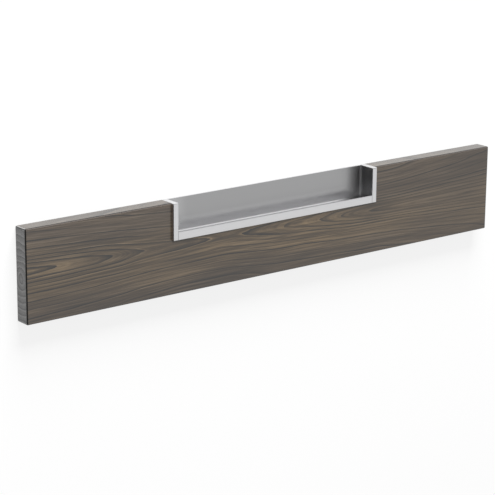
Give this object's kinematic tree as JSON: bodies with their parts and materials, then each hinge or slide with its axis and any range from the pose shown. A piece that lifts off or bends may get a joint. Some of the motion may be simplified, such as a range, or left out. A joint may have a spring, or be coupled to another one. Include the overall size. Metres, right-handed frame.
{
  "type": "drawer front with finger pull",
  "caption": "Flat wood drawer front with a satin aluminium finger pull set in a notch in its top edge: lip, trough and back wall between end caps.",
  "frame": {"origin": "on the board's flat back, under the middle of its length and height", "axes": "+X along the board, +Y towards the notched top edge, +Z out of the front face"},
  "size_m": [0.6, 0.094, 0.021],
  "materials": {
    "board_wood": "dark grey-brown oiled wood grain, satin lacquer",
    "satin_aluminium": "satin anodised extrusion",
    "cap_aluminium": "satin anodised, eased edges"
  },
  "bodies": {
    "root": {"front_board": "board_wood", "pull_profile": "satin_aluminium", "end_cap_left": "cap_aluminium", "end_cap_right": "cap_aluminium"}
  },
  "joints": []
}
